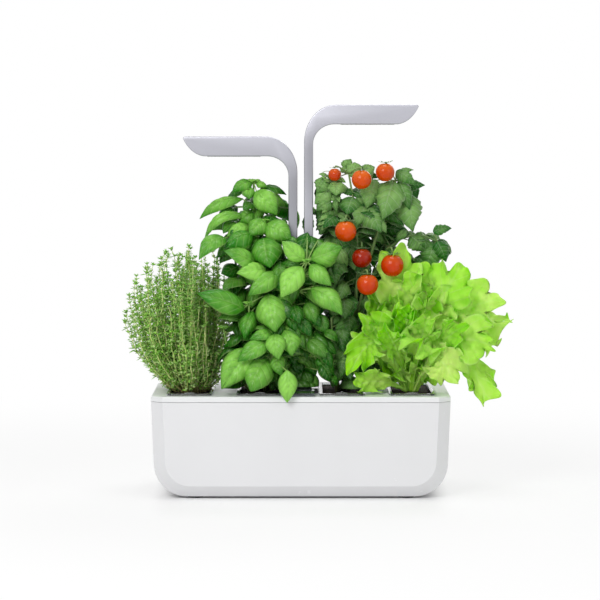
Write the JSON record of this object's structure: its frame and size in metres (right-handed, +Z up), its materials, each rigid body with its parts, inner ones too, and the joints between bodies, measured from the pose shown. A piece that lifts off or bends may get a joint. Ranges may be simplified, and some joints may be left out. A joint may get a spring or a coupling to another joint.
{
  "type": "countertop hydroponic garden",
  "caption": "Countertop hydroponic garden: glossy white water tank, lift-off deck with planted pots, sliding bent lamps on slim posts, refill flap over a level float, push button.",
  "frame": {"origin": "middle of the flat pad in the centre of the tank's underside, level with the faces of the feet", "axes": "+Z up, +X to the right seen from the front, +Y to the rear; the front faces -Y"},
  "size_m": [0.4517, 0.1909, 0.447],
  "materials": {
    "tank_plastic": "gloss",
    "deck_plastic": "gloss",
    "foot_rubber": "matte",
    "pot_plastic": "gloss",
    "growing_medium": "matte",
    "wick_felt": "matte",
    "console_black": "gloss",
    "housing_plastic": "matte",
    "screw_steel": "satin",
    "circuit_board": "satin",
    "lead_sheath": "matte",
    "flap_plastic": "gloss",
    "float_plastic": "satin",
    "post_coat": "satin",
    "arm_aluminium": "satin",
    "collar_plastic": "satin",
    "contact_brass": "satin",
    "lens_plastic": "satin",
    "led_board_white": "matte",
    "thyme_foliage": "matte",
    "basil_foliage": "satin",
    "tomato_foliage": "matte",
    "tomato_skin": "gloss",
    "lettuce_foliage": "satin"
  },
  "bodies": {
    "tank": {"tank": "tank_plastic", "foot_front_left": "foot_rubber", "foot_front_right": "foot_rubber", "foot_rear_left": "foot_rubber", "foot_rear_right": "foot_rubber"},
    "deck": {"deck": "deck_plastic", "pot_1": "pot_plastic", "pot_2": "pot_plastic", "pot_3": "pot_plastic", "pot_4": "pot_plastic", "soil_1": "growing_medium", "soil_2": "growing_medium", "soil_3": "growing_medium", "soil_4": "growing_medium", "wick_1": "wick_felt", "wick_2": "wick_felt", "wick_3": "wick_felt", "wick_4": "wick_felt", "console_housing": "housing_plastic", "console_cover": "console_black", "console_screw_front": "screw_steel", "console_screw_rear": "screw_steel", "control_board": "circuit_board", "led_driver_board": "circuit_board", "power_inlet": "housing_plastic", "inlet_lead": "lead_sheath", "refill_chute": "tank_plastic", "flap_pin": "screw_steel", "post_left": "post_coat", "post_right": "post_coat", "post_cap_left": "collar_plastic", "post_cap_right": "collar_plastic", "contact_strip_left": "contact_brass", "contact_strip_right": "contact_brass", "thyme_plant": "thyme_foliage", "basil_plant": "basil_foliage", "tomato_plant": "tomato_foliage", "lettuce_plant": "lettuce_foliage", "tomato_fruit_1": "tomato_skin", "tomato_fruit_2": "tomato_skin", "tomato_fruit_3": "tomato_skin", "tomato_fruit_4": "tomato_skin", "tomato_fruit_5": "tomato_skin", "tomato_fruit_6": "tomato_skin", "tomato_fruit_7": "tomato_skin"},
    "lamp_left": {"lamp_arm_left": "arm_aluminium", "lamp_lens_left": "lens_plastic", "led_board_left": "led_board_white", "lamp_lead_left": "lead_sheath", "sleeve_collar_left": "collar_plastic"},
    "lamp_right": {"lamp_arm_right": "arm_aluminium", "lamp_lens_right": "lens_plastic", "led_board_right": "led_board_white", "lamp_lead_right": "lead_sheath", "sleeve_collar_right": "collar_plastic"},
    "refill_flap": {"refill_flap": "flap_plastic"},
    "level_float": {"level_float": "float_plastic"},
    "power_button": {"power_button": "housing_plastic"}
  },
  "joints": [
    {"name": "deck_lift", "type": "slide", "parent": "tank", "child": "deck", "axis": [0, 0, 1], "range_m": [0, 0.12]},
    {"name": "lamp_left_height", "type": "slide", "parent": "deck", "child": "lamp_left", "axis": [0, 0, 1], "range_m": [-0.02, 0.0367]},
    {"name": "lamp_right_height", "type": "slide", "parent": "deck", "child": "lamp_right", "axis": [0, 0, 1], "range_m": [-0.02, 0]},
    {"name": "refill_flap_hinge", "type": "hinge", "parent": "deck", "child": "refill_flap", "pos_m": [0, -0.0495, 0.1198], "axis": [-1, 0, 0], "range_deg": [0, 95]},
    {"name": "float_rise", "type": "slide", "parent": "deck", "child": "level_float", "axis": [0, 0, 1], "range_m": [0, 0.02]},
    {"name": "power_button_press", "type": "slide", "parent": "deck", "child": "power_button", "axis": [0, 0, -1], "range_m": [0, 0.001], "stiffness_N_per_m": 400}
  ]
}
